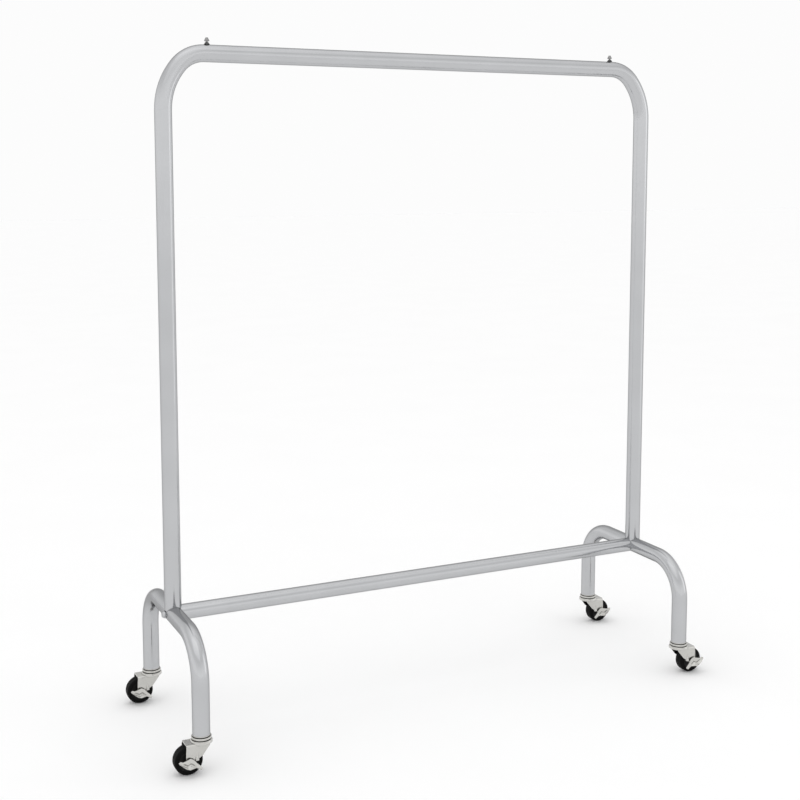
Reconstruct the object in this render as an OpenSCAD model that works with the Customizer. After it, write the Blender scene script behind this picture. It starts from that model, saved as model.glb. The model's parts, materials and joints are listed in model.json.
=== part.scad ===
// Rolling clothes rack: two arched leg frames on swivel casters carry a tall
// hanging frame, tied together near the floor by a cross bar.
// X runs along the hanging rail, -Y is the front, Z is up.
// The origin is on the floor, under the middle of the rack.

/* [Frame] */
// Distance between the centrelines of the two uprights
rack_w = 1250; // [600:10:1800]
// Distance between the centrelines of the front and back legs
base_d = 409; // [320:1:600]
// Height of the hanging rail's centreline above the floor
rail_h = 1521; // [1000:1:1900]
// Height of the cross bar's centreline above the floor
bar_h = 280; // [230:1:450]
// Outer diameter of the legs, uprights and hanging rail
tube_d = 38; // [31.5:0.5:46]
// Outer diameter of the cross bar
bar_d = 35; // [25:0.5:36]
// Wall of the legs, uprights, rail and cross bar
tube_wall = 1.5; // [1:0.1:2.5]

/* [Bends] */
// Centreline radius of the bends in the leg frames
leg_bend_r = 92; // [70:1:130]
// Centreline radius of each rail corner, next to the rail
corner_rail_r = 76; // [60:1:140]
// Centreline radius of each rail corner, next to the upright
corner_side_r = 150; // [80:1:220]
// Angle turned by the part of the corner next to the rail
corner_split = 50; // [20:1:70]

/* [Rail joints] */
// Straight tube between a corner and the joint in the rail
corner_tail = 40; // [25:1:80]
// Length of the sleeve inside each rail joint
joiner_len = 78; // [40:1:120]
// Wall of that sleeve
joiner_wall = 1.5; // [1:0.1:3]
// Distance from the end of the corner to the stud
stud_inset = 6.5; // [6:0.5:20]
// Thread diameter of the stud
stud_d = 5; // [4:0.5:6]
// Diameter of the stud's head
stud_head_d = 11.5; // [8:0.5:16]
// Height of the stud's head
stud_head_h = 8; // [5:0.5:12]
// Length of the bare neck between washer and head
stud_neck_h = 2.5; // [1:0.5:10]
// Diameter of the cone-shaped washer under the stud
stud_washer_d = 13; // [9:0.5:18]
// Height of that washer above the top of the tube
stud_washer_t = 4.6; // [1:0.1:7]
// Width across flats of the stud's nut
stud_nut_af = 8; // [7:0.5:10]
// Thickness of the stud's nut
stud_nut_t = 4; // [2.5:0.5:6]

/* [Cross bar bolts] */
// Thread diameter of the bolts through the leg frames
bar_bolt_d = 8; // [6:0.5:10]
// Diameter of the bolt head
bar_bolt_head_d = 14.5; // [11:0.5:20]
// Height of the bolt head
bar_bolt_head_h = 5; // [3:0.5:8]
// Length of the threaded plug in each end of the cross bar
bar_plug_len = 30; // [20:1:60]
// Length of bolt thread inside the plug
bar_bolt_grip = 16; // [8:1:18]
// How far the weld at the foot of each upright stands out
weld_size = 0.8; // [0.4:0.1:2]
// Thickness of that weld, between the upright and the leg frame
weld_root = 0.6; // [0.3:0.1:1.5]

/* [Wheel] */
// Outer diameter of the tyre
wheel_d = 62; // [50:1:80]
// Width of the tyre
tyre_w = 26.5; // [20:0.5:32]
// Radius of the tyre's shoulders
tyre_round = 5; // [2:0.5:8]
// Thickness of rubber on the wheel core
tyre_t = 9; // [6:0.5:12]
// Diameter of the wheel core's hub
hub_d = 17; // [14:0.5:20]
// Diameter of the axle bolt
axle_d = 6; // [5:0.5:8]
// Wall of the sleeve that the wheel turns on
sleeve_wall = 1; // [0.8:0.1:2]
// Running clearance between the sleeve and the wheel core
wheel_fit = 0.08; // [0.03:0.01:0.1]

/* [Fork] */
// Distance from the swivel axis back to the axle
trail = 30.8; // [24:0.2:36]
// Thickness of the fork's sheet steel
fork_t = 2.5; // [1.5:0.1:3.5]
// Gap between the tyre and each fork leg
fork_side_gap = 2.75; // [1.5:0.25:5]
// Gap between the tyre and the fork's crown
fork_top_gap = 3.5; // [2:0.25:8]
// Outer radius of the bend between crown and legs
fork_bend_r = 4; // [3:0.5:8]
// Radius of the fork's end around the axle
fork_end_r = 8.5; // [7:0.5:11]
// Length of crown behind the axle
crown_back = 6.5; // [3:0.5:10]
// Diameter of the round crown
crown_d = 48; // [44:1:60]
// How far the pressed rib on each fork leg stands out
rib_out = 3.8; // [1:0.1:5]
// Height of that rib
rib_h = 22; // [12:1:28]

/* [Swivel] */
// Height of the raised raceway on the crown
race_h = 4; // [3.5:0.25:6]
// Diameter of the balls in the swivel bearing
ball_d = 5; // [4:0.25:6]
// Number of balls in each swivel bearing
ball_count = 16; // [8:1:18]
// Diameter of the circle through the ball centres
race_d = 30; // [28:0.5:33]
// Gap between the crown's raceway and the bearing cap
race_gap = 1.5; // [1:0.1:2.2]
// Diameter of the bearing cap
cap_d = 44; // [40:1:50]
// Thickness of the bearing cap
cap_t = 5; // [4:0.25:8]
// Diameter of the kingpin that the fork turns on
kingpin_d = 8; // [6:0.5:10]
// Running clearance between kingpin and crown
kingpin_fit = 0.1; // [0.03:0.01:0.1]

/* [Stem] */
// Diameter of the caster's stem
stem_d = 11; // [9:0.5:13]
// Length of stem inside the leg
stem_len = 40; // [30:1:60]
// Thickness of the black washer under the leg
leg_washer_t = 1.5; // [1:0.1:3]
// Thickness of the socket's flange under the leg
socket_flange_t = 2; // [1:0.25:4]
// Length of the socket above its flange
socket_len = 46; // [36:1:70]
// Clearance of the stem in its socket
stem_fit = 0.15; // [0.05:0.05:0.4]

/* [Brake] */
// Slope of the lever along the wheel
lever_slope = 25.3; // [0:0.1:40]
// Outward lean of the lever's lower edge when the brake is off
lever_lean = 26.2; // [10:0.1:35]
// Thickness of the lever's sheet steel
lever_t = 1.5; // [1:0.1:2]
// How far the lever's lower edge is turned out
lever_lip = 2.4; // [1:0.1:4]
// Diameter of the pin that the lever turns on
lever_pin_d = 2.2; // [1.6:0.1:2.6]
// Gap between the fork and the lever's ears
lever_gap = 0.4; // [0.3:0.05:1]

/* [Hidden] */
$fn = 72;
eps = 0.02;

side_names = ["left", "right"];
row_names = ["front", "back"];
CASTER_PARTS = [
    "fork", "axle", "axle_sleeve", "wheel_core", "tyre", "brake_pin", "brake_lever"
];

// Heights through the caster, from the floor up
wheel_r = wheel_d / 2;
crown_z = wheel_d + fork_top_gap;
crown_top = crown_z + fork_t;
race_top = crown_top + race_h;
cap_z = race_top + race_gap;
cap_top = cap_z + cap_t;
socket_z = cap_top + leg_washer_t;
leg_z = socket_z + socket_flange_t;
ball_z = (race_top + cap_z) / 2;

// Tubes
tube_r = tube_d / 2;
bore_r = tube_r - tube_wall;
bar_r = bar_d / 2;
cope_gap = 0.2;

// Rail corner: two arcs that meet on a common normal
corner_w = corner_rail_r * sin(corner_split) + corner_side_r * (1 - sin(corner_split));
corner_x = rack_w / 2 - corner_w;
corner_h = corner_rail_r * (1 - cos(corner_split)) + corner_side_r * cos(corner_split);
joint_x = corner_x - corner_tail;
stud_x = corner_x - stud_inset;
stud_seat_z = rail_h + tube_r;
seam_gap = 0.02;
backing_len = 12;
backing_bite = 0.5;
joiner_r = bore_r;

// Cross bar ends
arch_x = rack_w / 2;
plug_r = bar_r - tube_wall;
bolt_washer_t = 1.5;
washer_gap = 0.1;

// Fork
fork_in = tyre_w / 2 + fork_side_gap;
fork_out = fork_in + fork_t;
crown_r = crown_d / 2;
crown_len = trail + crown_back;
kingpin_r = kingpin_d / 2;
ball_r = ball_d / 2;
race_r = race_d / 2;
ball_seat = 0.05;
ball_clear = 0.2;
rivet_r = kingpin_r + 3;
rivet_t = 2.5;
rivet_gap = 0.2;
rib_x = trail / 2;

// Wheel
axle_r = axle_d / 2;
sleeve_r = axle_r + sleeve_wall;
core_r = wheel_r - tyre_t;
hub_end_gap = 0.4;

// Brake lever, about its pin
pin_r = lever_pin_d / 2;
tongue_r = pin_r + 1.2;
ear_r = tongue_r + 0.6;
pin_y = -(fork_out + lever_gap + ear_r);
tongue_w = 3;
ear_in = tongue_w / 2 + 0.4;
ear_t = 1.4;
lever_back = tongue_r + 0.3;
pin_fit = 0.05;

// ---- shared shapes ----

// A straight tube along +Z
module tube(len, outer = tube_r, inner = bore_r) {
    difference() {
        cylinder(h = len, r = outer);
        translate([0, 0, -1]) cylinder(h = len + 2, r = inner);
    }
}

// A tube that leaves the origin along +X and turns right through an angle.
// Its children carry on from the end of the bend, heading along their own +X.
module bend(bend_r, turn) {
    translate([0, -bend_r, 0]) {
        rotate_extrude(angle = turn, start = 90 - turn)
            translate([bend_r, 0]) difference() {
                circle(r = tube_r);
                circle(r = bore_r);
            }
        rotate([0, 0, -turn]) translate([0, bend_r, 0]) children();
    }
}

// A solid bar along X, centred on the origin
module bar_x(len, r) {
    translate([-len / 2, 0, 0]) rotate([0, 90, 0]) cylinder(h = len, r = r);
}

// A solid bar along Y, centred on the origin
module bar_y(len, r) {
    translate([0, len / 2, 0]) rotate([90, 0, 0]) cylinder(h = len, r = r);
}

// Draws its children at the right side, or mirrored to the left
module to_side(side) {
    mirror([side < 0 ? 1 : 0, 0, 0]) children();
}

// Draws its children on both sides
module both_sides() {
    for (side = [-1, 1]) to_side(side) children();
}

// Draws its children on a caster's swivel axis, trailing outwards
module at_caster(side, row) {
    to_side(side) translate([arch_x, row * base_d / 2, 0]) children();
}

// Draws its children at all four casters
module all_casters() {
    for (side = [-1, 1], row = [-1, 1]) at_caster(side, row) children();
}

// ---- leg frames and cross bar ----

module leg_half() {
    translate([0, base_d / 2 - leg_bend_r, bar_h]) rotate([90, 0, 90])
        bend(leg_bend_r, 90) rotate([0, 90, 0]) tube(bar_h - leg_bend_r - leg_z);
}

module leg_arch(side) {
    top_len = base_d - 2 * leg_bend_r;
    color("silver") to_side(side) translate([arch_x, 0, 0]) difference() {
        union() {
            leg_half();
            mirror([0, 1, 0]) leg_half();
            translate([0, top_len / 2, bar_h]) rotate([90, 0, 0]) tube(top_len);
        }
        translate([0, 0, bar_h]) bar_x(tube_d + 4, bar_bolt_d / 2);
    }
}

module cross_bar() {
    color("silver") difference() {
        translate([-arch_x, 0, bar_h]) rotate([0, 90, 0]) tube(rack_w, bar_r, plug_r);
        both_sides() translate([arch_x, 0, bar_h]) bar_y(tube_d * 2, tube_r);
    }
}

module cross_bar_plugs() {
    color("gray") both_sides() translate([arch_x, 0, bar_h]) difference() {
        translate([-(tube_r + bar_plug_len), 0, 0])
            rotate([0, 90, 0]) cylinder(h = tube_r + bar_plug_len, r = plug_r);
        bar_y(tube_d * 2, tube_r);
        translate([-tube_r - bar_bolt_grip, 0, 0])
            rotate([0, 90, 0]) cylinder(h = tube_r + bar_bolt_grip, r = bar_bolt_d / 2);
    }
}

module cross_bar_bolts() {
    head_r = bar_bolt_head_d / 2;
    head_x = tube_r + bolt_washer_t;
    bolt_len = 2 * tube_r + bar_bolt_grip + bolt_washer_t;
    color("gainsboro") both_sides() translate([arch_x, 0, bar_h]) {
        // Shank and domed head
        translate([head_x, 0, 0]) rotate([0, 90, 0]) rotate_extrude()
            polygon([
                [0, -bolt_len], [bar_bolt_d / 2, -bolt_len], [bar_bolt_d / 2, 0],
                [head_r, 0], [head_r, bar_bolt_head_h * 0.6],
                [head_r * 0.75, bar_bolt_head_h], [0, bar_bolt_head_h]
            ]);
        // Saddle washer, hollowed to sit on the round tube and clear of the upright
        difference() {
            rotate([0, 90, 0]) cylinder(h = head_x, r = head_r + 1.5);
            bar_y(tube_d * 2, tube_r);
            cylinder(h = tube_d, r = tube_r + weld_size + washer_gap);
            rotate([0, 90, 0]) cylinder(h = head_x + 1, r = bar_bolt_d / 2);
        }
    }
}

// ---- uprights and hanging rail ----

// A bend whose next length is seam_gap away, held by a ring set into the wall
module backed_bend(bend_r, turn) {
    bend(bend_r, turn) {
        translate([-backing_len / 2, 0, 0]) rotate([0, 90, 0])
            tube(backing_len, bore_r + backing_bite, bore_r - backing_bite);
        translate([seam_gap, 0, 0]) children();
    }
}

module upright(side) {
    color("silver") to_side(side) difference() {
        translate([corner_x, 0, rail_h]) {
            rotate([0, -90, 0]) tube(corner_tail);
            rotate([90, 0, 0])
                backed_bend(corner_rail_r, corner_split)
                    backed_bend(corner_side_r, 90 - corner_split)
                        rotate([0, 90, 0]) tube(rail_h - corner_h - bar_h);
        }
        translate([arch_x, 0, bar_h]) bar_y(tube_d * 2, tube_r + weld_root);
        translate([arch_x - tube_d, 0, bar_h]) bar_x(tube_d * 2, bar_r + cope_gap);
        translate([stud_x, 0, rail_h]) cylinder(h = tube_d, r = stud_d / 2);
    }
}

// Weld that fills the saddle between each upright and its leg frame
module upright_welds() {
    weld_low = tube_r / 3;
    color("darkgray") both_sides() translate([arch_x, 0, bar_h]) difference() {
        intersection() {
            tube(tube_d, tube_r + weld_size, bore_r);
            bar_y(tube_d * 2, tube_r + weld_root);
        }
        bar_y(tube_d * 3, tube_r);
        translate([-tube_d, 0, 0]) bar_x(tube_d * 2, bar_r + cope_gap);
        translate([-tube_d, -tube_d, weld_low - tube_d]) cube([2 * tube_d, 2 * tube_d, tube_d]);
    }
}

module top_rail() {
    color("silver") translate([-joint_x, 0, rail_h]) rotate([0, 90, 0]) tube(2 * joint_x);
}

module rail_joiners() {
    color("gray") both_sides() difference() {
        translate([joint_x + corner_tail - 1 - joiner_len, 0, rail_h])
            rotate([0, 90, 0]) tube(joiner_len, joiner_r, joiner_r - joiner_wall);
        translate([stud_x, 0, rail_h]) cylinder(h = tube_d, r = stud_d / 2);
    }
}

module rail_studs() {
    shank = tube_wall + joiner_wall + stud_nut_t + 2;
    neck_top = stud_washer_t + stud_neck_h;
    head_r = stud_head_d / 2;
    rim_h = 1.6;
    color("lightgray") both_sides() translate([stud_x, 0, stud_seat_z]) rotate_extrude()
        polygon([
            [0, -shank], [stud_d / 2, -shank], [stud_d / 2, neck_top],
            [head_r, neck_top], [head_r, neck_top + rim_h],
            [stud_d / 2, neck_top + stud_head_h], [0, neck_top + stud_head_h]
        ]);
}

module stud_washers() {
    washer_r = stud_washer_d / 2;
    rim_top = tube_r + 0.5;
    cone_top = tube_r + stud_washer_t;
    // The underside follows the round tube, so the washer seats all the way round
    color("dimgray") both_sides() translate([stud_x, 0, rail_h]) difference() {
        rotate_extrude()
            polygon([
                [0, 0], [washer_r, 0], [washer_r, rim_top],
                [stud_d / 2 + 1.2, cone_top], [0, cone_top]
            ]);
        bar_x(tube_d * 2, tube_r);
        cylinder(h = tube_d, r = stud_d / 2);
    }
}

module stud_nuts() {
    nut_top = sqrt(pow(joiner_r - joiner_wall, 2) - pow(stud_nut_af / sqrt(3), 2));
    color("gray") both_sides() translate([stud_x, 0, rail_h + nut_top - stud_nut_t])
        difference() {
            cylinder(h = stud_nut_t, r = stud_nut_af / sqrt(3), $fn = 6);
            translate([0, 0, -1]) cylinder(h = stud_nut_t + 2, r = stud_d / 2);
        }
}

// ---- parts between each leg and its caster ----

module stem_sockets() {
    color("gainsboro") all_casters() difference() {
        union() {
            translate([0, 0, socket_z]) cylinder(h = socket_flange_t, r = tube_r + 0.3);
            translate([0, 0, socket_z]) cylinder(h = socket_flange_t + socket_len, r = bore_r);
        }
        translate([0, 0, socket_z - 1]) cylinder(h = stem_len + 3, r = stem_d / 2 + stem_fit);
    }
}

module caster_stems() {
    stem_r = stem_d / 2;
    groove_r = stem_r - 0.9;
    groove_z = socket_z + stem_len - 12;
    groove_h = 3;
    stem_top = socket_z + stem_len;
    shoulder_r = stem_r + 1.5;
    head_z = crown_z - rivet_gap - rivet_t;
    color("lightsteelblue") all_casters() rotate_extrude()
        polygon([
            [0, head_z], [rivet_r - 1, head_z], [rivet_r, head_z + 1],
            [rivet_r, crown_z - rivet_gap], [kingpin_r, crown_z - rivet_gap],
            [kingpin_r, cap_top], [shoulder_r, cap_top], [shoulder_r, socket_z],
            [stem_r, socket_z], [stem_r, groove_z], [groove_r, groove_z],
            [groove_r, groove_z + groove_h], [stem_r, groove_z + groove_h],
            [stem_r, stem_top - 2], [stem_r - 1.5, stem_top], [0, stem_top]
        ]);
}

module grip_rings() {
    ring_in = stem_d / 2 - 0.9;
    ring_out = stem_d / 2 + stem_fit;
    ring_z = socket_z + stem_len - 12;
    color("gray") all_casters() translate([0, 0, ring_z + 0.2])
        rotate_extrude(angle = 330) translate([ring_in, 0]) square([ring_out - ring_in, 2.6]);
}

module leg_washers() {
    color("black") all_casters() translate([0, 0, cap_top]) difference() {
        cylinder(h = leg_washer_t, r = tube_r - 1.5);
        translate([0, 0, -1]) cylinder(h = leg_washer_t + 2, r = stem_d / 2 + 1.5);
    }
}

module bearing_caps() {
    cap_r = cap_d / 2;
    edge = 1;
    color("gainsboro") all_casters() difference() {
        rotate_extrude()
            polygon([
                [kingpin_r, cap_z], [cap_r - edge, cap_z], [cap_r, cap_z + edge],
                [cap_r, cap_top - edge], [cap_r - edge, cap_top], [kingpin_r, cap_top]
            ]);
        translate([0, 0, ball_z]) rotate_extrude()
            translate([race_r, 0]) circle(r = ball_r + ball_seat);
    }
}

module race_seals() {
    seal_gap = 0.35;
    seal_out = cap_d / 2 - 1.2;
    seal_in = race_r + ball_r + 0.8;
    color("black") all_casters() translate([0, 0, race_top + seal_gap])
        tube(race_gap - seal_gap, seal_out, seal_in);
}

module swivel_balls() {
    color("gray") all_casters() for (i = [0 : ball_count - 1])
        rotate([0, 0, i * 360 / ball_count])
            translate([race_r, 0, ball_z]) sphere(r = ball_r, $fn = 24);
}

// ---- one caster, trailing along +X from its swivel axis ----

// Cross-section of the folded fork, in Y and Z
module fork_section(half_w, top, bend_r) {
    low = wheel_r - fork_end_r - 1;
    translate([-half_w, low]) square([2 * half_w, top - bend_r - low]);
    translate([bend_r - half_w, low]) square([2 * (half_w - bend_r), top - low]);
    for (s = [-1, 1]) translate([s * (half_w - bend_r), top - bend_r]) circle(r = bend_r);
}

// Side view of a fork leg, in X and Z
module fork_side() {
    front_x = -sqrt(pow(crown_r, 2) - pow(fork_out, 2));
    back_x = trail + fork_end_r;
    polygon([
        [front_x, crown_top], [front_x + 2.5, crown_z - 3.5], [rib_x - 13, wheel_r + 11.5],
        [rib_x, wheel_r + 2.5], [trail - fork_end_r * 0.6, wheel_r - fork_end_r * 0.8],
        [trail, wheel_r], [back_x, wheel_r], [back_x - 0.6, crown_z - 11],
        [crown_len, crown_top + 1], [front_x, crown_top + 1]
    ]);
    translate([trail, wheel_r]) circle(r = fork_end_r);
}

module fork_rib() {
    rib_r = rib_out + fork_t / 2;
    translate([rib_x, -fork_out + fork_t / 2, wheel_r + 3]) rotate([0, -4, 0])
        cylinder(h = rib_h, r1 = rib_r, r2 = 0.4);
}

module fork() {
    lip_r = crown_r - 2;
    color("gainsboro") difference() {
        union() {
            // Pressed crown with its raised raceway
            rotate_extrude()
                polygon([
                    [0, crown_z], [crown_r, crown_z], [crown_r, crown_top + 1],
                    [lip_r, race_top], [race_r - ball_r - 2, race_top],
                    [race_r - ball_r - 3, race_top - 1], [0, race_top - 1]
                ]);
            // Shoulder and legs, folded from one sheet
            intersection() {
                translate([-crown_r, 0, 0]) rotate([90, 0, 90])
                    linear_extrude(crown_r + trail + fork_end_r + 1)
                        fork_section(fork_out, crown_top, fork_bend_r);
                translate([0, fork_out + 1, 0]) rotate([90, 0, 0])
                    linear_extrude(2 * fork_out + 2) fork_side();
            }
            fork_rib();
            mirror([0, 1, 0]) fork_rib();
        }
        // Space for the wheel
        translate([-crown_r - 1, 0, 0]) rotate([90, 0, 90])
            linear_extrude(crown_r + trail + fork_end_r + 3)
                fork_section(fork_in, crown_z, fork_bend_r - fork_t);
        // Hollow under the raceway
        translate([0, 0, crown_z - 1])
            tube(fork_t + 1, lip_r - 2, kingpin_r + 7);
        // Ball track
        translate([0, 0, ball_z]) rotate_extrude()
            translate([race_r, 0]) circle(r = ball_r + ball_clear);
        translate([0, 0, crown_z - 2]) cylinder(h = race_h + fork_t + 4, r = kingpin_r + kingpin_fit);
        translate([trail, 0, wheel_r]) bar_y(2 * fork_out + 4, axle_r);
    }
}

// Places its children at the lever's pin, with X along the pin
module at_pin() {
    translate([trail, pin_y, wheel_r]) rotate([0, -lever_slope, 0]) children();
}

module axle() {
    head_h = 3.5;
    tip = -pin_y + tongue_r;
    color("lightsteelblue") {
        translate([trail, 0, wheel_r]) rotate([-90, 0, 0]) {
            // Shank through both fork legs
            translate([0, 0, -fork_out]) cylinder(h = 2 * fork_out, r = axle_r);
            translate([0, 0, fork_out]) rotate_extrude()
                polygon([
                    [0, 0], [axle_r + 3, 0], [axle_r + 3, head_h * 0.5],
                    [axle_r + 1, head_h], [0, head_h]
                ]);
        }
        // Flattened tongue with a rounded end, drilled for the lever's pin
        at_pin() difference() {
            union() {
                translate([-tongue_w / 2, 0, -tongue_r])
                    cube([tongue_w, -pin_y - fork_out + eps, 2 * tongue_r]);
                bar_x(tongue_w, tongue_r);
            }
            bar_x(tongue_w + 2, pin_r);
        }
    }
}

module axle_sleeve() {
    color("gray") translate([trail, fork_in, wheel_r])
        rotate([90, 0, 0]) tube(2 * fork_in, sleeve_r, axle_r);
}

module wheel_core() {
    hub_half = fork_in - hub_end_gap;
    rim_half = tyre_w / 2 - 1;
    web_half = rim_half - 2.5;
    bore = sleeve_r + wheel_fit;
    color("black") translate([trail, 0, wheel_r]) rotate([90, 0, 0]) rotate_extrude()
        polygon([
            [bore, -hub_half], [hub_d / 2, -hub_half], [hub_d / 2, -web_half],
            [core_r - 4, -web_half], [core_r - 4, -rim_half], [core_r, -rim_half],
            [core_r, rim_half], [core_r - 4, rim_half], [core_r - 4, web_half],
            [hub_d / 2, web_half], [hub_d / 2, hub_half], [bore, hub_half]
        ]);
}

module tyre() {
    half = tyre_w / 2;
    color("black") translate([trail, 0, wheel_r]) rotate([90, 0, 0]) rotate_extrude()
        difference() {
            union() {
                translate([core_r, -half]) square([tyre_t - tyre_round, tyre_w]);
                translate([core_r, tyre_round - half]) square([tyre_t, tyre_w - 2 * tyre_round]);
                for (s = [-1, 1])
                    translate([wheel_r - tyre_round, s * (half - tyre_round)])
                        circle(r = tyre_round);
            }
            translate([0, -tyre_w]) square([core_r, 2 * tyre_w]);
        }
}

module brake_pin() {
    pin_half = ear_in + ear_t + 0.3;
    color("lightsteelblue") at_pin() {
        bar_x(2 * pin_half, pin_r);
        for (s = [-1, 1]) translate([s * (pin_half + 0.3), 0, 0]) bar_x(0.6, pin_r + 0.6);
    }
}

// Outline of the lever, seen square on, with the pin at the origin
module lever_outline() {
    polygon([
        [27.5, -6], [24.5, -3], [19, -3], [12, 1.7], [4, 8.5], [-4, 7.8],
        [-13, 3.2], [-27, -1.5], [-28, -4], [-26, -7.5], [-14.5, -6],
        [-8, -9.5], [-1, -14], [7, -14.5], [17, -12], [25, -8.8]
    ]);
}

module brake_lever() {
    bead_w = 1.6;
    bead_h = 0.7;
    face = lever_back + lever_t;
    bead = [[15.5, -5.5], [5.5, -6.4], [-0.5, -0.5], [-9, -2.5]];
    color("gainsboro") at_pin() rotate([-lever_lean, 0, 0]) difference() {
        union() {
            translate([0, -lever_back, 0]) rotate([90, 0, 0])
                linear_extrude(lever_t) lever_outline();
            // Turned-out lower edge
            translate([0, -lever_back, 0]) rotate([90, 0, 0])
                linear_extrude(lever_t + lever_lip) difference() {
                    lever_outline();
                    translate([0, lever_t]) lever_outline();
                    translate([-40, -4]) square([80, 20]);
                }
            // Pressed bead
            for (i = [0 : 2]) {
                a = bead[i];
                b = bead[i + 1];
                run = b - a;
                translate([a[0], -face + eps, a[1]])
                    rotate([0, -atan2(run[1], run[0]), 0])
                        translate([-bead_w / 2, -bead_h, -bead_w / 2])
                            cube([norm(run) + bead_w, bead_h, bead_w]);
            }
            // Ears on the pin
            for (s = [-1, 1]) translate([s * (ear_in + ear_t / 2), 0, 0]) {
                bar_x(ear_t, ear_r);
                translate([-ear_t / 2, -lever_back - eps, -ear_r])
                    cube([ear_t, lever_back + eps, 2 * ear_r]);
            }
        }
        bar_x(4 * ear_in + 4 * ear_t, pin_r + pin_fit);
    }
}

module caster_part(part) {
    if (part == "fork") fork();
    if (part == "axle") axle();
    if (part == "axle_sleeve") axle_sleeve();
    if (part == "wheel_core") wheel_core();
    if (part == "tyre") tyre();
    if (part == "brake_pin") brake_pin();
    if (part == "brake_lever") brake_lever();
}

leg_arch(-1);  // left_leg_arch
leg_arch(1);  // right_leg_arch
upright(-1);  // left_upright
upright(1);  // right_upright
top_rail();
cross_bar();
upright_welds();
rail_joiners();
rail_studs();
stud_washers();
stud_nuts();
cross_bar_plugs();
cross_bar_bolts();
stem_sockets();
caster_stems();
grip_rings();
leg_washers();
bearing_caps();
race_seals();
swivel_balls();
for (s = [0, 1], r = [0, 1], part = CASTER_PARTS)
    at_caster(2 * s - 1, 2 * r - 1) caster_part(part);
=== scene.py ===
"""Finishes and fine detail for the rolling clothes rack, and the studio that it stands in."""

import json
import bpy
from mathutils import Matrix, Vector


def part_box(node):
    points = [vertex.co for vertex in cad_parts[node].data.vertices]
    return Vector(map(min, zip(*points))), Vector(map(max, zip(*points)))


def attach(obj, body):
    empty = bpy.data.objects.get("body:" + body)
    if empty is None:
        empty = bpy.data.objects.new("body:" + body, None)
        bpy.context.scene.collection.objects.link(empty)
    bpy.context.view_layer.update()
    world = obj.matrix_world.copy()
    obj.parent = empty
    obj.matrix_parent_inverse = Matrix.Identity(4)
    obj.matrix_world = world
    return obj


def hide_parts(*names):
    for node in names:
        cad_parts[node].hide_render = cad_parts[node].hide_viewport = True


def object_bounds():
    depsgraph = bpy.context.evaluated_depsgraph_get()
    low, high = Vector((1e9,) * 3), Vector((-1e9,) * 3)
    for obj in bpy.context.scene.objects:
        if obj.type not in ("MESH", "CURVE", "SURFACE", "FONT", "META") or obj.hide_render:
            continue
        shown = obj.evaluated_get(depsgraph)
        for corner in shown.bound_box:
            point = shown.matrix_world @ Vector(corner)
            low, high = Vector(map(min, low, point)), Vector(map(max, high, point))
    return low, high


bl_info = {
    "name": "Rolling Clothes Rack",
    "version": (1, 0, 0),
    "blender": (4, 5, 0),
    "location": "3D View > Sidebar > Clothes Rack",
    "description": "Plated tubes, pressed caster forks and moulded wheels on the rack's frame",
    "category": "Object",
}

from math import cos, exp, hypot, pi, radians, sin, sqrt

import bmesh
import bpy
from bpy.props import FloatProperty, IntProperty, PointerProperty, StringProperty
from mathutils import Matrix, Vector

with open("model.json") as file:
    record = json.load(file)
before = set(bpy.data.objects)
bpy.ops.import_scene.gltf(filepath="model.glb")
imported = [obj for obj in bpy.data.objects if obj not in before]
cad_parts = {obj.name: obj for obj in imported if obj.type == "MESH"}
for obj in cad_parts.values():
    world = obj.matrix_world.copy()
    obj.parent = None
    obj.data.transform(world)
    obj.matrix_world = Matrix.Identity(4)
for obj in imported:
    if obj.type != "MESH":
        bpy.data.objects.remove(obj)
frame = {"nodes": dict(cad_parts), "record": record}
cad_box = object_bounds()

MM = 0.001
SIDES = {"left": -1, "right": 1}
CASTERS = [f"{side}_{row}" for side in SIDES for row in ("front", "back")]
# The share of light that nickel keeps near a glancing angle, as the Specular Tint reads it
NICKEL_EDGE = (0.5, 0.5, 0.5, 1)
# Distances under this are taken as none when a mesh is cut or its points are merged
TINY = 0.001 * MM
# A frame mesh is loose triangles whose shared corners differ by less than this
CORNER_GAP = 0.002 * MM
# Points nearer than this to an axis or a surface lie on it
NEAR = 0.01 * MM
# Faces that meet at less than this are one flat face
FLAT_ANGLE = radians(0.5)
# Edges that turn by more than this are rounded, and stay sharp when a piece is shaded
SHARP_ANGLE = radians(35)
# On the pressed levers only the rim turns by more than this
LEVER_RIM_ANGLE = radians(60)
# The brake lever, about its pin: its slope and lean with the brake off, and its sheet and lip
LEVER_SLOPE = radians(25.3)
LEVER_LEAN = radians(26.2)
LEVER_BACK = 2.6 * MM
LEVER_SHEET = 1.5 * MM
LEVER_LIP = 2.3 * MM
# Outline and crease of the lever seen square on, in millimetres from the pin
LEVER_OUTLINE = [(27.5, -6), (24.5, -3), (19, -3), (12, 1.7), (4, 8.5), (-4, 7.8), (-13, 3.2),
                 (-27, -1.5), (-28, -4), (-26, -7.5), (-14.5, -6), (-8, -9.5), (-1, -14), (7, -14.5),
                 (17, -12), (25, -8.8)]
LEVER_CREASE = [(-28, -3.5), (-9, -2.5), (-0.5, -0.5), (5.5, -6.4), (15.5, -5.5), (28, -5.5)]
# The crease fades out this far from its middle, this many times faster than a straight fade
CREASE_MIDDLE = 3
CREASE_REACH = 17
CREASE_FADE = 3
# Half the width of the crease, and the width of the curved lip below it
CREASE_HALF = 1.0
LIP_WIDTH = 5
# The lever's ears stop this far short of its sheet, so that no two faces lie in one plane
EAR_GAP = 0.02 * MM
# The tyre's shoulder as a share of its half width, and where its wall line is between bore and tread
TYRE_SHOULDER = 0.38
TYRE_LINE = 0.45
TYRE_SHOULDER_STEPS = 10
# A caster's own pieces lie within this distance of its swivel axis
CASTER_REACH = 60 * MM
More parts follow.
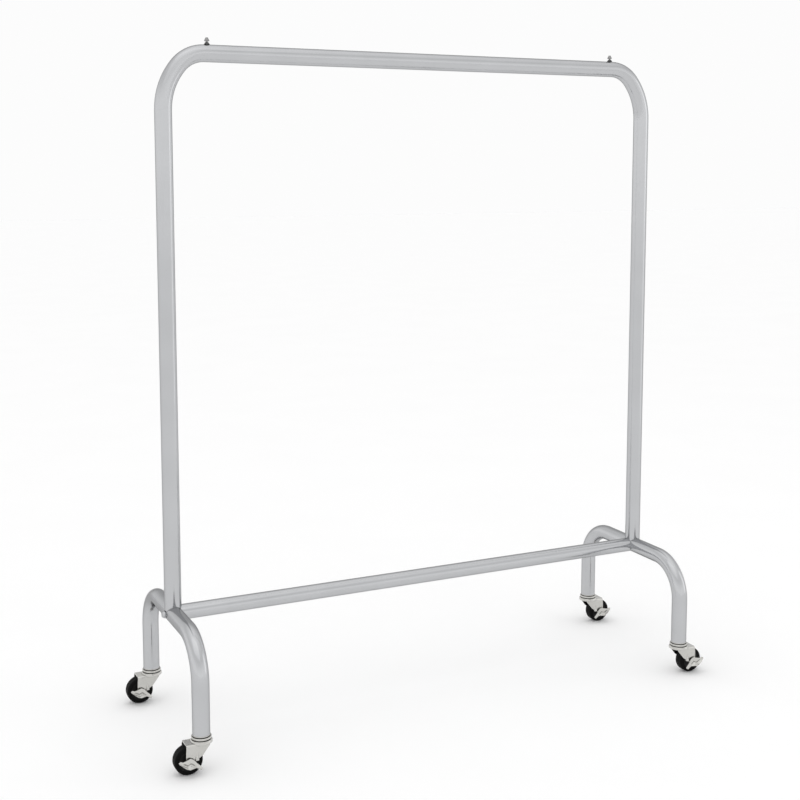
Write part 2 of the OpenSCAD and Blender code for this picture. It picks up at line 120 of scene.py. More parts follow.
# The light tent's grey straight down, straight up, and between them at these shares of the way
TENT_FLOOR = 0.9
TENT_ROOF = 1.2
TENT_WALLS = ((0.5, 1.15), (0.62, 1.1), (0.78, 0.86), (0.9, 1.02))
# The tent's dim back wall: its direction, east of +Y, how dim it is, and where its edges fade
BACK_WALL = radians(25)
BACK_WALL_SHARE = 0.7
BACK_WALL_INNER = radians(18)
BACK_WALL_OUTER = radians(48)
# What the camera sees of the tent, which is the same white as the lit floor
TENT_SEEN = (0.975, 0.975, 0.975, 1)
# The key light's place, counted upwards from the top of the rack, and its width and length
KEY_PLACE = (-1.2, -1.6, 2.2)
KEY_SIZE = (4.0, 3.0)
# The side light's place, counted upwards from the floor, and its width and length
SIDE_PLACE = (3.2, -1.4, 1.2)
SIDE_SIZE = (0.8, 2.4)
# The camera, which is turned east of +Y and tipped down
CAMERA_PLACE = (-1.3725, -2.7448, 1.2714)
CAMERA_TURN = radians(25.552)
CAMERA_TIP = radians(6.340)
CAMERA_LENS = 57.93
CAMERA_SHIFT = -0.11
# Noise mostly stays between these two values
NOISE_LOW = 0.3
NOISE_HIGH = 0.7
TUBE_NODES = ["left_leg_arch", "right_leg_arch", "left_upright", "right_upright", "top_rail", "cross_bar"]


# ---- places and sizes read from the frame ----

def middle(node):
    low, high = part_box(node)
    return (low + high) / 2


def extent(node):
    low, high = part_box(node)
    return high - low


def swivel_axes():
    """A point on the axis that each caster turns about."""
    joints = frame["record"]["behaviour"]["joints"]
    return [Vector(joint["pos_m"]) for joint in joints if joint["name"].endswith("_swivel_turn")]


def stud_axes():
    """A point on the axis of each stud, level with the middle of the rail."""
    low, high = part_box("rail_studs")
    reach = (high.y - low.y) / 2
    rail = middle("top_rail")
    return [Vector((x, rail.y, rail.z)) for x in (low.x + reach, high.x - reach)]


def linear(hex_colour):
    """A linear RGB triple from an sRGB hex colour such as #C8C9CB."""
    values = [int(hex_colour[i:i + 2], 16) / 255 for i in (1, 3, 5)]
    return tuple(v / 12.92 if v <= 0.04045 else ((v + 0.055) / 1.055) ** 2.4 for v in values)


# ---- what a user would change ----

class RackFinish(bpy.types.PropertyGroup):
    """Colours of the rack's finishes"""
    tube: StringProperty(name="Tube", description="Plated steel tube", default="#BFC0C2")
    zinc: StringProperty(name="Zinc", description="Zinc on the caster's sheet steel", default="#C6C5C1")
    rubber: StringProperty(name="Rubber", description="Tyres", default="#060606")
    # On the seals this black stands in for the shade in each bearing gap: painted shade
    plastic: StringProperty(name="Black plastic", description="Wheel cores, seals and leg washers",
                            default="#0B0B0B")
    washer: StringProperty(name="Stud washer", description="Washer under each stud", default="#585858")
    stud: StringProperty(name="Stud", description="Turned studs on the rail", default="#9C9C9C")
    steel: StringProperty(name="Plain steel", description="Inner steel pieces", default="#8C8D8F")


class RackDetail(bpy.types.PropertyGroup):
    """Sizes of the fine detail"""
    sheet_edge: FloatProperty(name="Sheet edge", description="Rounding on pressed sheet steel",
                              default=0.7 * MM, unit="LENGTH")
    turned_edge: FloatProperty(name="Turned edge", description="Rounding on turned and moulded pieces",
                               default=0.3 * MM, unit="LENGTH")
    lever_edge: FloatProperty(name="Lever edge", description="Rounding on the pressed levers",
                              default=0.4 * MM, unit="LENGTH")
    crease_depth: FloatProperty(name="Crease", description="Depth of the crease across each lever",
                                default=1.4 * MM, unit="LENGTH")
    press_step: FloatProperty(name="Press step", description="Longest edge in the pressed sheet",
                              default=0.8 * MM, unit="LENGTH")
    seam_height: FloatProperty(name="Mould seam", description="Height of the seam round each tyre",
                               default=0.25 * MM, unit="LENGTH")
    round_steps: IntProperty(name="Round steps", description="Faces round each turned piece", default=96)


class RackStudio(bpy.types.PropertyGroup):
    """The studio round the rack"""
    floor_size: FloatProperty(name="Floor", description="Width of the floor", default=60.0, unit="LENGTH")
    key_power: FloatProperty(name="Key light", description="Power of the large overhead light",
                             default=6.0, unit="POWER")
    side_power: FloatProperty(name="Side light", description="Power of the tall side light",
                              default=3.0, unit="POWER")


# ---- materials ----

def add(tree, kind, inputs=(), **settings):
    """Adds a node with its settings; an input given as another node's output is linked."""
    node = tree.nodes.new(kind)
    for name, value in settings.items():
        setattr(node, name, value)
    for name, value in dict(inputs).items():
        if isinstance(value, bpy.types.NodeSocket):
            tree.links.new(value, node.inputs[name])
        else:
            node.inputs[name].default_value = value
    return node


def new_material(name, **sockets):
    """A material with a Principled shader whose uniform values are set on its own sockets."""
    material = bpy.data.materials.new(name)
    material.use_nodes = True
    tree = material.node_tree
    shader = tree.nodes["Principled BSDF"]
    for socket, value in sockets.items():
        shader.inputs[socket.replace("_", " ")].default_value = value
    place = add(tree, "ShaderNodeTexCoord").outputs["Object"]
    return material, tree, shader, place


def noise_at(tree, place, size, detail=3.0, roughness=0.5):
    """Noise whose features are about size metres across."""
    return add(tree, "ShaderNodeTexNoise",
               {"Vector": place, "Scale": 1 / size, "Detail": detail, "Roughness": roughness})


def spread(tree, value, low, high):
    """Maps noise to the range from low to high."""
    return add(tree, "ShaderNodeMapRange",
               {"Value": value, "From Min": NOISE_LOW, "From Max": NOISE_HIGH,
                "To Min": low, "To Max": high}).outputs[0]


def tint(tree, value, dark, light):
    """A colour that runs from dark to light as noise goes from low to high."""
    ramp = add(tree, "ShaderNodeValToRGB", {"Fac": value})
    ramp.color_ramp.elements[0].position = NOISE_LOW
    ramp.color_ramp.elements[1].position = NOISE_HIGH
    ramp.color_ramp.elements[0].color = (*dark, 1)
    ramp.color_ramp.elements[1].color = (*light, 1)
    return ramp.outputs["Color"]


def shade(colour, factor):
    return tuple(channel * factor for channel in colour)


def bumped(tree, shader, height, depth, strength):
    bump = add(tree, "ShaderNodeBump", {"Height": height, "Distance": depth, "Strength": strength})
    tree.links.new(bump.outputs["Normal"], shader.inputs["Normal"])


def satin_nickel(colour):
    """Drawn steel tube, polished and satin nickel plated: clear but soft reflections, with a faint
    haze from handling and a fine grain left by the polishing belt."""
    material, tree, shader, place = new_material("satin_nickel_plated_tube", Metallic=1.0,
                                                 Specular_Tint=NICKEL_EDGE)
    haze = noise_at(tree, place, 70 * MM, detail=2.0).outputs["Fac"]
    grain = noise_at(tree, place, 0.9 * MM, detail=4.0).outputs["Fac"]
    mixed = add(tree, "ShaderNodeMix", {"Factor": 0.35, "A": haze, "B": grain}).outputs["Result"]
    tree.links.new(tint(tree, haze, shade(colour, 0.965), shade(colour, 1.0)), shader.inputs["Base Color"])
    tree.links.new(spread(tree, mixed, 0.15, 0.21), shader.inputs["Roughness"])
    # Belt grain is about 0.1 mm; it is drawn at 0.9 mm so that it shows
    bumped(tree, shader, grain, 0.02 * MM, 0.15)
    return material


def bright_zinc(colour):
    """Pressed sheet steel with clear-passivated zinc plating: smooth and bright, very slightly warm,
    with a faint cloud in the plating, clear but soft reflections and painted shade in its folds and creases."""
    material, tree, shader, place = new_material("bright_zinc_plated_sheet", Metallic=1.0)
    cloud = noise_at(tree, place, 18 * MM, detail=2.0).outputs["Fac"]
    grain = noise_at(tree, place, 1.5 * MM).outputs["Fac"]
    # Painted shade: the colour darkens in the folds and creases, within about 4 mm of the corner, by how
    # closed in each point is
    crease_occlusion = add(tree, "ShaderNodeAmbientOcclusion", {"Distance": 4 * MM}, samples=8).outputs["AO"]
    painted_crease_shade = add(tree, "ShaderNodeMapRange", {"Value": crease_occlusion, "From Min": 0.5, "From Max": 0.92,
                                             "To Min": 0.25, "To Max": 1.0}).outputs[0]
    # The zinc colour, scaled down by the painted crease shade
    plated = add(tree, "ShaderNodeVectorMath", {0: tint(tree, cloud, shade(colour, 0.97), colour)},
                 operation="SCALE")
    tree.links.new(painted_crease_shade, plated.inputs["Scale"])
    tree.links.new(plated.outputs["Vector"], shader.inputs["Base Color"])
    tree.links.new(spread(tree, cloud, 0.2, 0.25), shader.inputs["Roughness"])
    # Rolled sheet keeps an orange-peel surface about 1.5 mm across under the plating
    bumped(tree, shader, grain, 0.01 * MM, 0.1)
    return material


def moulded_rubber(colour):
    """Thermoplastic rubber moulded in a lightly blasted tool: near black, dull, with a soft edge
    to every highlight."""
    material, tree, shader, place = new_material("moulded_black_rubber", Specular_IOR_Level=0.1)
    # The blasted texture is about 0.1 mm; it is drawn at 0.7 mm so that it shows
    blast = noise_at(tree, place, 0.7 * MM, detail=4.0).outputs["Fac"]
    smear = noise_at(tree, place, 15 * MM).outputs["Fac"]
    tree.links.new(tint(tree, smear, shade(colour, 0.7), colour), shader.inputs["Base Color"])
    tree.links.new(spread(tree, smear, 0.55, 0.66), shader.inputs["Roughness"])
    bumped(tree, shader, blast, 0.04 * MM, 0.25)
    return material


def moulded_plastic(name, colour, rough):
    """Injection moulded polypropylene: an even colour, a fine spark-eroded texture and a low,
    broad sheen."""
    material, tree, shader, place = new_material(name, Specular_IOR_Level=0.18)
    # The spark-eroded texture is about 0.1 mm; it is drawn at 0.5 mm so that it shows
    spark = noise_at(tree, place, 0.5 * MM, detail=3.0).outputs["Fac"]
    flow = noise_at(tree, place, 20 * MM).outputs["Fac"]
    tree.links.new(tint(tree, flow, shade(colour, 0.8), colour), shader.inputs["Base Color"])
    tree.links.new(spread(tree, flow, rough, rough + 0.1), shader.inputs["Roughness"])
    bumped(tree, shader, spark, 0.03 * MM, 0.3)
    return material


def turned_steel(name, colour, rough):
    """Machined steel: fine tool marks across the height, under a thin film of oil or plating."""
    material, tree, shader, place = new_material(name, Metallic=1.0)
    # Tool marks are about 0.3 mm apart; they are drawn 2.07 mm apart so that they show. A Wave
    # Texture's marks are pi / 10 apart at a scale of 1, and 6.6 mm of that is 2.07 mm
    marks = add(tree, "ShaderNodeTexWave",
                {"Vector": place, "Scale": 1 / (6.6 * MM), "Distortion": 0.6, "Detail": 2.0},
                bands_direction="Z").outputs["Fac"]
    stain = noise_at(tree, place, 6 * MM).outputs["Fac"]
    tree.links.new(tint(tree, stain, shade(colour, 0.8), colour), shader.inputs["Base Color"])
    tree.links.new(spread(tree, stain, rough, rough + 0.12), shader.inputs["Roughness"])
    bumped(tree, shader, marks, 0.02 * MM, 0.25)
    return material


def dressed_weld(colour):
    """A thin weld, ground back and plated with the tube: darker and rougher than the tube, with
    ripples about a millimetre apart."""
    material, tree, shader, place = new_material("dressed_and_plated_weld", Metallic=1.0)
    ripple = noise_at(tree, place, 1.1 * MM, detail=3.0).outputs["Fac"]
    tree.links.new(tint(tree, ripple, shade(colour, 0.45), shade(colour, 0.75)), shader.inputs["Base Color"])
    tree.links.new(spread(tree, ripple, 0.3, 0.5), shader.inputs["Roughness"])
    bumped(tree, shader, ripple, 0.15 * MM, 0.5)
    return material


def studio_floor():
    """Seamless paper: white, matt and very slightly mottled."""
    material, tree, shader, place = new_material("white_backdrop_paper", Roughness=0.9)
    shader.inputs["Specular IOR Level"].default_value = 0.1
    fibre = noise_at(tree, place, 400 * MM).outputs["Fac"]
    paper = linear("#FDFDFD")
    tree.links.new(tint(tree, fibre, shade(paper, 0.99), paper), shader.inputs["Base Color"])
    return material


def finish(name):
    """The named finish, made once."""
    if name in bpy.data.materials:
        return bpy.data.materials[name]
    colours = bpy.context.scene.rack_finish
    makers = {
        "satin_nickel_plated_tube": lambda: satin_nickel(linear(colours.tube)),
        "bright_zinc_plated_sheet": lambda: bright_zinc(linear(colours.zinc)),
        "moulded_black_rubber": lambda: moulded_rubber(linear(colours.rubber)),
        "moulded_black_plastic": lambda: moulded_plastic(name, linear(colours.plastic), 0.4),
        "moulded_grey_plastic": lambda: moulded_plastic(name, linear(colours.washer), 0.45),
        "turned_and_plated_stud": lambda: turned_steel(name, linear(colours.stud), 0.28),
        "plain_bright_steel": lambda: turned_steel(name, linear(colours.steel), 0.35),
        "dressed_and_plated_weld": lambda: dressed_weld(linear(colours.tube)),
    }
    return makers[name]()


def coat(node, name):
    """Gives a frame node a finish in place of its plain one."""
    data = frame["nodes"][node].data
    data.materials.clear()
    data.materials.append(finish(name))


# ---- mesh helpers ----

def new_piece(name, bm, finish_name, body, slot, *nodes):
    """Turns a bmesh into a finished piece that stands for the given nodes."""
    bmesh.ops.recalc_face_normals(bm, faces=bm.faces)
    data = bpy.data.meshes.new(name)
    bm.to_mesh(data)
    bm.free()
    data.shade_smooth()
    data.set_sharp_from_angle(angle=SHARP_ANGLE)
    data.materials.append(finish(finish_name))
    piece = bpy.data.objects.new(name, data)
    bpy.context.scene.collection.objects.link(piece)
    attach(piece, body)
    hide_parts(*nodes)
    return piece


def merged_copy(node):
    """A bmesh of a frame node, with its loose triangles merged and its flat faces made whole."""
    bm = bmesh.new()
    bm.from_mesh(frame["nodes"][node].data)
    bmesh.ops.remove_doubles(bm, verts=bm.verts, dist=CORNER_GAP)
    bmesh.ops.dissolve_limit(bm, angle_limit=FLAT_ANGLE, verts=bm.verts, edges=bm.edges)
    return bm


def round_edges(bm, width, angle=SHARP_ANGLE):
    """Rounds every edge that turns by more than the angle, by at most the width."""
    sharp = [e for e in bm.edges if len(e.link_faces) == 2 and e.calc_face_angle(0) > angle]
    bmesh.ops.bevel(bm, geom=sharp, offset=width, offset_type="OFFSET", segments=2,
                    profile=0.5, affect="EDGES", clamp_overlap=True, material=-1)


def lathe(profile, centres, axis, steps):
    """Spins an outline of (radius, height) points into a closed solid round an axis at each centre."""
    bm = bmesh.new()
    turn = Vector((0, 0, 1)).rotation_difference(Vector(axis)).to_matrix()
    for centre in centres:
        points = [bm.verts.new(centre + turn @ Vector((r, 0, h))) for r, h in profile]
        edges = [bm.edges.new((points[i - 1], points[i])) for i in range(len(points))
                 if max(profile[i - 1][0], profile[i][0]) > NEAR]
        bmesh.ops.spin(bm, geom=points + edges, cent=centre, axis=axis, angle=2 * pi, steps=steps,
                       use_merge=True, use_duplicate=False)
    bmesh.ops.remove_doubles(bm, verts=bm.verts, dist=TINY)
    bmesh.ops.dissolve_degenerate(bm, dist=TINY, edges=bm.edges)
    return bm


def half_section(node, centre, reach):
    """The outline of a turned node on one side of an upright axis, as (radius, height) points that
    are cut through its mesh."""
    bm = bmesh.new()
    bm.from_mesh(frame["nodes"][node].data)
    bmesh.ops.remove_doubles(bm, verts=bm.verts, dist=CORNER_GAP)
    others = [vert for vert in bm.verts if (vert.co.xy - centre.xy).length > reach]
    bmesh.ops.delete(bm, geom=others, context="VERTS")
    for normal, one_side in (((1, 0, 0), True), ((0, 1, 0), False)):
        cut = bmesh.ops.bisect_plane(bm, geom=bm.verts[:] + bm.edges[:] + bm.faces[:], dist=TINY,
                                     plane_co=centre, plane_no=normal, clear_inner=one_side)["geom_cut"]
    links = {}
    for edge in (each for each in cut if isinstance(each, bmesh.types.BMEdge)):
        for vert in edge.verts:
            links.setdefault(vert, []).append(edge.other_vert(vert))
    # An outline that meets the axis is open there, so the walk starts at one of its ends
    vert = min(links, key=lambda each: len(links[each]))
    path = []
    while vert:
        path.append(vert)
        vert = next((other for other in links[vert] if other not in path), None)
    if len(path) != len(links):
        raise RuntimeError(f"the outline of {node} is not one line")
    outline = [(each.co.x - centre.x, each.co.z - centre.z) for each in path]
    bm.free()
    return outline


def turned_copy(node, centres, reach, steps):
    """A bmesh of a turned node, spun finely at each centre from its own outline."""
    return lathe(half_section(node, centres[0], reach), centres, (0, 0, 1), steps)


# ---- the pieces ----

class RACK_OT_finish_tubes(bpy.types.Operator):
    """Plate the tubes of the frame, and dress the welds at the feet of the uprights"""
    bl_idname = "rack.finish_tubes"
    bl_label = "Tubes and Welds"

    def execute(self, context):
        for node in TUBE_NODES:
            coat(node, "satin_nickel_plated_tube")
        coat("upright_welds", "dressed_and_plated_weld")
        return {"FINISHED"}


class RACK_OT_finish_inner_steel(bpy.types.Operator):
    """Finish the steel pieces inside the tubes and the bearings"""
    bl_idname = "rack.finish_inner_steel"
    bl_label = "Inner Steel"

    def execute(self, context):
        inner = ["rail_joiners", "stud_nuts", "cross_bar_plugs", "grip_rings", "swivel_balls"]
        for node in inner + [f"{caster}_axle_sleeve" for caster in CASTERS]:
            coat(node, "plain_bright_steel")
        return {"FINISHED"}


def seat_on_rail(bm, rail, radius):
    """Bends the flat underside of a washer round the rail."""
    for vert in bm.verts:
        if vert.co.z - rail.z < radius + NEAR:
            vert.co.z = rail.z + sqrt(radius ** 2 - (vert.co.y - rail.y) ** 2)


class RACK_OT_rail_studs(bpy.types.Operator):
    """Round the studs and washers on the hanging rail, and turn their fine detail"""
    bl_idname = "rack.rail_studs"
    bl_label = "Rail Studs"

    def execute(self, context):
        detail = context.scene.rack_detail
        centres = stud_axes()
        rail_radius = extent("top_rail").y / 2
        for node, name, slot in (("rail_studs", "turned_and_plated_stud", "stud_metal"),
                                 ("stud_washers", "moulded_grey_plastic", "stud_washer")):
            width = extent(node).y
            bm = turned_copy(node, centres, width, detail.round_steps)
            if node == "stud_washers":
                seat_on_rail(bm, centres[0], rail_radius)
            round_edges(bm, detail.turned_edge)
            new_piece(f"{node}_finished", bm, name, "frame", slot, node)
        return {"FINISHED"}


class RACK_OT_frame_hardware(bpy.types.Operator):
    """Round the bolts through the leg frames and the stems, and turn the sockets, washers and caps, and the
    black seal rings that stand in for the shade in each bearing gap
    """
    bl_idname = "rack.frame_hardware"
    bl_label = "Bolts, Sockets and Caps"

    def execute(self, context):
        detail = context.scene.rack_detail
        for node, name, slot in (("cross_bar_bolts", "satin_nickel_plated_tube", "satin_tube"),
                                 ("caster_stems", "bright_zinc_plated_sheet", "zinc_plate")):
            bm = merged_copy(node)
            round_edges(bm, detail.turned_edge)
            new_piece(f"{node}_finished", bm, name, "frame", slot, node)
        for node, name, slot in (("stem_sockets", "bright_zinc_plated_sheet", "zinc_plate"),
                                 ("bearing_caps", "bright_zinc_plated_sheet", "zinc_plate"),
                                 ("leg_washers", "moulded_black_plastic", "black_plastic"),
                                 # The race seals are black rings that fill the gap between each bearing cap
                                 # and fork crown: a dark part that stands in for the shade in that gap,
                                 # painted shade
                                 ("race_seals", "moulded_black_plastic", "black_plastic")):
            bm = turned_copy(node, swivel_axes(), CASTER_REACH, detail.round_steps)
            round_edges(bm, detail.turned_edge)
            new_piece(f"{node}_finished", bm, name, "frame", slot, node)
        return {"FINISHED"}


class RACK_OT_forks(bpy.types.Operator):
    """Press the caster forks, with rounded sheet edges"""
    bl_idname = "rack.forks"
    bl_label = "Caster Forks"

    def execute(self, context):
        detail = context.scene.rack_detail
        for caster in CASTERS:
            for part, edge in (("fork", detail.sheet_edge), ("axle", detail.turned_edge)):
                node = f"{caster}_{part}"
                bm = merged_copy(node)
                round_edges(bm, edge)
                new_piece(f"{node}_finished", bm, "bright_zinc_plated_sheet",
                          f"{caster}_swivel", "zinc_plate", node)
            coat(f"{caster}_brake_pin", "bright_zinc_plated_sheet")
        return {"FINISHED"}


def crease_height(x):
    """Height and slope of the lever's crease above or below its pin, at a distance along the lever."""
    for (x0, z0), (x1, z1) in zip(LEVER_CREASE, LEVER_CREASE[1:]):
        if x <= x1:
            break
    slope = (z1 - z0) / (x1 - x0)
    return z0 + slope * (x - x0), slope


def press_lever(bm, lip, groove):
    """Presses the flat lever: a narrow crease, and below it a lower edge that curves outwards."""
    for vert in bm.verts:
        x, z = vert.co.x / MM, vert.co.z / MM
        height, slope = crease_height(x)
        below = (height - z) / hypot(1, slope)
        from_end = max(0.0, 1 - abs(x - CREASE_MIDDLE) / CREASE_REACH)
        rise = lip * min(max(below - CREASE_HALF, 0.0) / LIP_WIDTH, 1.0) ** 2
        sunk = groove * min(1.0, CREASE_FADE * from_end) * exp(-(below / CREASE_HALF) ** 2)
        vert.co.y += sunk - rise


def lever_blank(thickness, back, fine):
    """The lever's outline as a sheet of small triangles, with its thickness, in front of its pin."""
    bm = bmesh.new()
    bm.faces.new([bm.verts.new((x * MM, -back, z * MM)) for x, z in LEVER_OUTLINE])
    coarse = True
    while coarse:
        bmesh.ops.triangulate(bm, faces=bm.faces, quad_method="SHORT_EDGE", ngon_method="BEAUTY")
        coarse = [edge for edge in bm.edges if edge.calc_length() > fine]
        bmesh.ops.subdivide_edges(bm, edges=coarse, cuts=1)
    bmesh.ops.recalc_face_normals(bm, faces=bm.faces)
    if bm.faces[:][0].normal.y > 0:
        bmesh.ops.reverse_faces(bm, faces=bm.faces)
    back_faces = bmesh.ops.duplicate(bm, geom=bm.faces[:])
    front = [f for f in bm.faces if f not in back_faces["geom"]]
    bmesh.ops.translate(bm, vec=(0, -thickness, 0), verts=list({v for f in front for v in f.verts}))
    rims = [edge for edge in bm.edges if edge.is_boundary]
    bmesh.ops.bridge_loops(bm, edges=rims)
    bmesh.ops.recalc_face_normals(bm, faces=bm.faces)
    return bm


def add_ears(bm, node, to_local, back):
    """Adds the two ears that hold the lever's pin, cut from the frame's lever."""
    ears = merged_copy(node)
    bmesh.ops.transform(ears, matrix=to_local, verts=ears.verts)
    bmesh.ops.bisect_plane(ears, geom=ears.verts[:] + ears.edges[:] + ears.faces[:], dist=TINY,
                           plane_co=(0, -back, 0), plane_no=(0, -1, 0), clear_outer=True)
    bmesh.ops.holes_fill(ears, edges=[edge for edge in ears.edges if edge.is_boundary], sides=0)
    spare = bpy.data.meshes.new("ears")
    ears.to_mesh(spare)
    ears.free()
    bm.from_mesh(spare)
    bpy.data.meshes.remove(spare)


class RACK_OT_brake_levers(bpy.types.Operator):
    """Press the brake levers, with a crease across the middle and a lower edge that curves outwards"""
    bl_idname = "rack.brake_levers"
    bl_label = "Brake Levers"

    def execute(self, context):
        detail = context.scene.rack_detail
        pressed = lever_blank(LEVER_SHEET, LEVER_BACK, detail.press_step)
        press_lever(pressed, LEVER_LIP, detail.crease_depth)
        for caster in CASTERS:
            node = f"{caster}_brake_lever"
            pin = middle(f"{caster}_brake_pin")
            side = SIDES[caster.split("_")[0]]
            to_world = (Matrix.Scale(side, 4, (1, 0, 0)) @ Matrix.Translation((side * pin.x, pin.y, pin.z))
                        @ Matrix.Rotation(-LEVER_SLOPE, 4, "Y") @ Matrix.Rotation(-LEVER_LEAN, 4, "X"))
            bm = pressed.copy()
            add_ears(bm, node, to_world.inverted(), LEVER_BACK - EAR_GAP)
            bmesh.ops.transform(bm, matrix=to_world, verts=bm.verts)
            round_edges(bm, detail.lever_edge, LEVER_RIM_ANGLE)
            new_piece(f"{node}_pressed", bm, "bright_zinc_plated_sheet",
                      f"{caster}_brake", "zinc_plate", node)
        pressed.free()
        return {"FINISHED"}


def arc(centre, radius, start, end, steps):
    """Points round an arc, from one angle to the other, in degrees."""
    angles = [radians(start + (end - start) * i / steps) for i in range(steps + 1)]
    return [(centre[0] + radius * cos(a), centre[1] + radius * sin(a)) for a in angles]


def tyre_profile(outer, inner, half, seam):
    """Half a tyre's outline is worked out and then mirrored: a flat tread with a moulded seam down
    its middle, a round shoulder, a wall with a raised rim line, and a flat bore on the core."""
    shoulder = half * TYRE_SHOULDER
    line_at = inner + (outer - inner) * TYRE_LINE
    tread = outer - seam
    side = [(inner, half - seam), (line_at - 2 * seam, half - seam), (line_at - seam, half),
            (line_at + seam, half), (line_at + 2 * seam, half - seam)]
    side += reversed(arc((tread - shoulder, half - seam - shoulder), shoulder, 0, 90, TYRE_SHOULDER_STEPS))
    side += [(tread, 2 * seam), (outer, seam)]
    return side + [(r, -h) for r, h in reversed(side)]


def core_radius(node, axle):
    """The radius of a tyre's bore, measured on its mesh."""
    return min(hypot(v.co.x - axle.x, v.co.z - axle.z) for v in frame["nodes"][node].data.vertices)


class RACK_OT_wheels(bpy.types.Operator):
    """Mould the tyres, with a seam round the tread and a line round each wall, and finish the cores"""
    bl_idname = "rack.wheels"
    bl_label = "Wheels"

    def execute(self, context):
        detail = context.scene.rack_detail
        for caster in CASTERS:
            node = f"{caster}_tyre"
            axle = middle(node)
            size = extent(node)
            profile = tyre_profile(size.z / 2, core_radius(node, axle), size.y / 2, detail.seam_height)
            bm = lathe(profile, [axle], (0, 1, 0), detail.round_steps)
            new_piece(f"{node}_moulded", bm, "moulded_black_rubber", f"{caster}_wheel", "black_rubber", node)
            coat(f"{caster}_wheel_core", "moulded_black_plastic")
        return {"FINISHED"}


class RACK_OT_studio(bpy.types.Operator):
    """Set up the floor, the soft lights and the camera"""
    bl_idname = "rack.studio"
    bl_label = "Studio"

    def execute(self, context):
        scene = context.scene
        studio = scene.rack_studio
        scene.view_settings.view_transform = "Standard"
        lay_floor(studio.floor_size)
        light_world(scene)
        above_rack = Vector((0, 0, cad_box[1].z))
        area_light("key_light", Vector(KEY_PLACE) + above_rack, KEY_SIZE, studio.key_power)
        area_light("side_light", Vector(SIDE_PLACE), SIDE_SIZE, studio.side_power)
        place_camera(scene)
        return {"FINISHED"}


def lay_floor(size):
    bm = bmesh.new()
    bmesh.ops.create_grid(bm, x_segments=1, y_segments=1, size=size / 2)
    data = bpy.data.meshes.new("studio_floor")
    bm.to_mesh(data)
    bm.free()
    data.materials.append(studio_floor())
    floor = bpy.data.objects.new("studio_floor", data)
    bpy.context.scene.collection.objects.link(floor)


def area_light(name, place, size, power):
    """A rectangular light aimed at the middle of the rack."""
    light = bpy.data.lights.new(name, "AREA")
    light.shape = "RECTANGLE"
    light.size, light.size_y = size
    light.energy = power
    lamp = bpy.data.objects.new(name, light)
    bpy.context.scene.collection.objects.link(lamp)
    low, high = cad_box
    lamp.location = place
    lamp.rotation_euler = ((low + high) / 2 - place).to_track_quat("-Z", "Y").to_euler()
    lamp.visible_camera = False


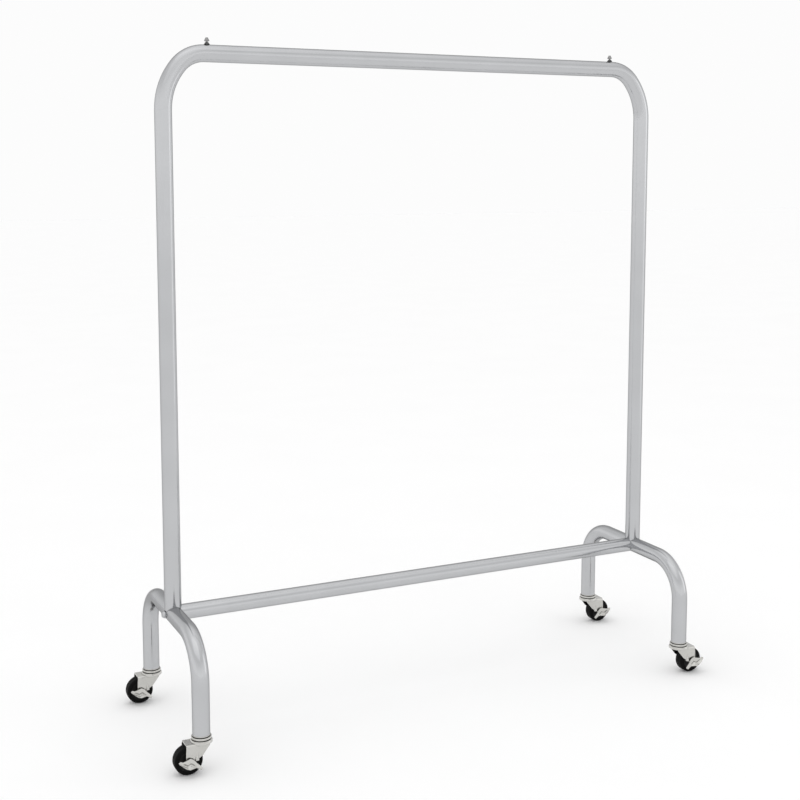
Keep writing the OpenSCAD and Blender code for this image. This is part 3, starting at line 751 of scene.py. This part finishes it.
def light_world(scene):
    """A white light tent, a little dimmer where its walls lean in, and dimmest behind the rack,
    which shades the sides of the plated tubes. Seen directly, it is as white as the floor, so the
    floor has no horizon."""
    world = bpy.data.worlds.new("light_tent")
    scene.world = world
    world.use_nodes = True
    tree = world.node_tree
    direction = add(tree, "ShaderNodeTexCoord").outputs["Generated"]
    up = add(tree, "ShaderNodeSeparateXYZ", {"Vector": direction}).outputs["Z"]
    ramp = add(tree, "ShaderNodeValToRGB", {"Fac": add(
        tree, "ShaderNodeMapRange", {"Value": up, "From Min": -1.0, "From Max": 1.0}).outputs[0]})
    stops = ramp.color_ramp.elements
    stops[0].color = (TENT_FLOOR, TENT_FLOOR, TENT_FLOOR, 1)
    stops[1].color = (TENT_ROOF, TENT_ROOF, TENT_ROOF, 1)
    for position, grey in TENT_WALLS:
        stops.new(position).color = (grey, grey, grey, 1)
    behind = Vector((sin(BACK_WALL), cos(BACK_WALL), 0))
    facing = add(tree, "ShaderNodeVectorMath", {0: direction, 1: behind}, operation="DOT_PRODUCT")
    wall = add(tree, "ShaderNodeMapRange",
               {"Value": facing.outputs["Value"], "From Min": cos(BACK_WALL_OUTER),
                "From Max": cos(BACK_WALL_INNER), "To Min": 1.0, "To Max": BACK_WALL_SHARE},
               interpolation_type="SMOOTHSTEP").outputs[0]
    graded = add(tree, "ShaderNodeVectorMath", {0: ramp.outputs["Color"]}, operation="SCALE")
    tree.links.new(wall, graded.inputs["Scale"])
    seen = add(tree, "ShaderNodeLightPath").outputs["Is Camera Ray"]
    colour = add(tree, "ShaderNodeMix", {"Factor": seen}, data_type="RGBA")
    tree.links.new(graded.outputs["Vector"], colour.inputs["A"])
    colour.inputs["B"].default_value = TENT_SEEN
    tree.links.new(colour.outputs["Result"], tree.nodes["Background"].inputs["Color"])


def place_camera(scene):
    """The camera stands front left of the rack, a little below rail height, and looks slightly down."""
    data = bpy.data.cameras.new("camera")
    data.lens = CAMERA_LENS
    data.shift_y = CAMERA_SHIFT
    camera = bpy.data.objects.new("camera", data)
    scene.collection.objects.link(camera)
    camera.location = CAMERA_PLACE
    camera.rotation_euler = (radians(90) - CAMERA_TIP, 0, -CAMERA_TURN)
    scene.camera = camera


# ---- the add-on ----

PIECES = (RACK_OT_finish_tubes, RACK_OT_finish_inner_steel, RACK_OT_rail_studs, RACK_OT_frame_hardware,
          RACK_OT_forks, RACK_OT_brake_levers, RACK_OT_wheels, RACK_OT_studio)


class RACK_PT_panel(bpy.types.Panel):
    """Clothes rack pieces and finishes"""
    bl_idname = "RACK_PT_panel"
    bl_label = "Clothes Rack"
    bl_space_type = "VIEW_3D"
    bl_region_type = "UI"
    bl_category = "Clothes Rack"

    def draw(self, context):
        for piece in PIECES:
            self.layout.operator(piece.bl_idname)
        for group in (context.scene.rack_finish, context.scene.rack_detail, context.scene.rack_studio):
            box = self.layout.box()
            for name in group.__annotations__:
                box.prop(group, name)


CLASSES = (RackFinish, RackDetail, RackStudio, *PIECES, RACK_PT_panel)


def register():
    for each in CLASSES:
        bpy.utils.register_class(each)
    bpy.types.Scene.rack_finish = PointerProperty(type=RackFinish)
    bpy.types.Scene.rack_detail = PointerProperty(type=RackDetail)
    bpy.types.Scene.rack_studio = PointerProperty(type=RackStudio)


def unregister():
    del bpy.types.Scene.rack_studio
    del bpy.types.Scene.rack_detail
    del bpy.types.Scene.rack_finish
    for each in reversed(CLASSES):
        bpy.utils.unregister_class(each)


def main():
    register()
    bpy.ops.rack.finish_tubes()
    bpy.ops.rack.finish_inner_steel()
    bpy.ops.rack.rail_studs()
    bpy.ops.rack.frame_hardware()
    bpy.ops.rack.forks()
    bpy.ops.rack.brake_levers()
    bpy.ops.rack.wheels()
    bpy.ops.rack.studio()


if __name__ == "__main__":
    main()
